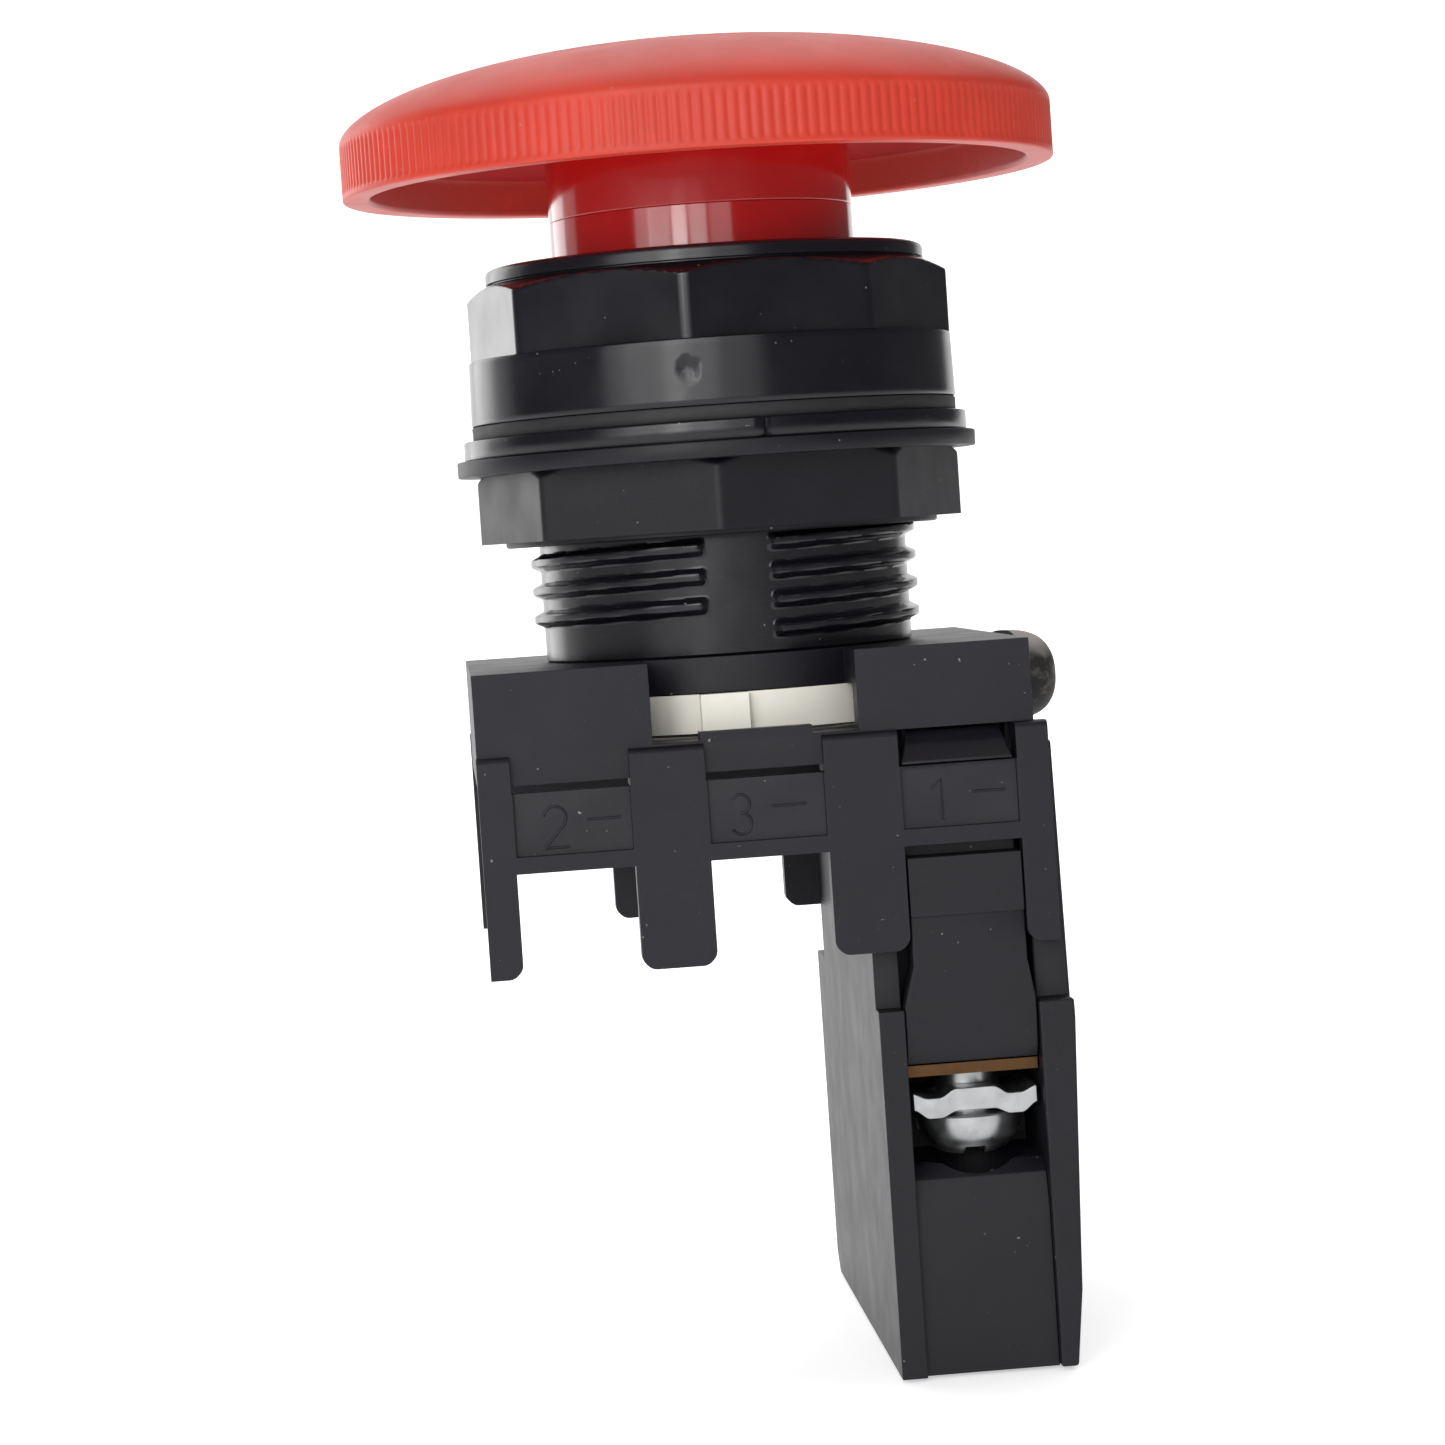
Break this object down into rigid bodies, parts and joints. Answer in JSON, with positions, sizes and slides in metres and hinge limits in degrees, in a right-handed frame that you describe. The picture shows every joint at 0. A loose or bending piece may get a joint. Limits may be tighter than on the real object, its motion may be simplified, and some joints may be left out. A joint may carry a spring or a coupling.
{
  "type": "emergency stop push button",
  "caption": "Red mushroom-head emergency stop push button with threaded operator, lock nut, mounting block and one clip-in contact block with screw terminals.",
  "frame": {"origin": "on the operator's axis at the underside of the panel gasket, where the front of the panel lies", "axes": "+Z along the axis towards the mushroom head; -Y towards the front face of the mounting block with its label plates; +X towards the contact block"},
  "size_m": [0.04, 0.04, 0.0733],
  "materials": {
    "red_plastic": "satin moulded",
    "black_gloss": "semi-gloss moulded",
    "black_matte": "fine matte moulded",
    "gasket_rubber": "matte",
    "ivory_plastic": "smooth",
    "grey_plastic": "matte",
    "brass": "rolled",
    "zinc_steel": "bright zinc plated",
    "spring_steel": "drawn",
    "silver_tip": "satin"
  },
  "bodies": {
    "base": {"contact_cover": "black_matte", "contact_holder": "black_matte", "contact_housing": "black_matte", "contact_spring": "spring_steel", "end_cap": "grey_plastic", "fixed_contact_front": "brass", "fixed_contact_rear": "brass", "fixed_tips": "silver_tip", "latch_sleeve": "grey_plastic", "lock_nut": "black_matte", "operator_housing": "black_gloss", "panel_gasket": "gasket_rubber", "return_spring": "spring_steel", "ring_retainer": "black_matte", "saddle_clamp_front": "zinc_steel", "saddle_clamp_rear": "zinc_steel", "spacer_ring": "black_gloss", "stem_seal": "gasket_rubber", "terminal_screw_front": "zinc_steel", "terminal_screw_rear": "zinc_steel", "thrust_washer": "black_gloss"},
    "press": {"pusher": "ivory_plastic", "pusher_clip": "spring_steel"},
    "head": {"mushroom_head": "red_plastic", "operator_stem": "red_plastic", "latch_pins": "spring_steel"},
    "plunger": {"contact_plunger": "ivory_plastic", "contact_bridge": "brass", "bridge_tips": "silver_tip"},
    "lock": {"lock_ring": "ivory_plastic", "lock_lever": "grey_plastic"},
    "latch": {"latch_arm": "black_matte"}
  },
  "joints": [
    {"name": "head_press", "type": "slide", "parent": "base", "child": "press", "axis": [0, 0, -1], "range_m": [0, 0.0055], "stiffness_N_per_m": 900, "springref_m": -0.004, "deforming": ["return_spring", "contact_spring"]},
    {"name": "head_turn", "type": "hinge", "parent": "press", "child": "head", "pos_m": [0, 0, 0.01], "axis": [0, 0, 1], "range_deg": [0, 45], "stiffness_Nm_per_rad": 0.05},
    {"name": "plunger_press", "type": "slide", "parent": "base", "child": "plunger", "axis": [0, 0, -1], "range_m": [0, 0.0055], "stiffness_N_per_m": 300, "springref_m": -0.002},
    {"name": "lock_turn", "type": "hinge", "parent": "base", "child": "lock", "pos_m": [0, 0, -0.0157], "axis": [0, 0, 1], "range_deg": [-25, 0]},
    {"name": "latch_flex", "type": "hinge", "parent": "base", "child": "latch", "pos_m": [0.0105, -0.0136, -0.0346], "axis": [1, 0, 0], "range_deg": [-4, 0], "stiffness_Nm_per_rad": 0.6}
  ],
  "couplings": [
    {"joint": "plunger_press", "follows": "head_press", "ratio": 1}
  ]
}
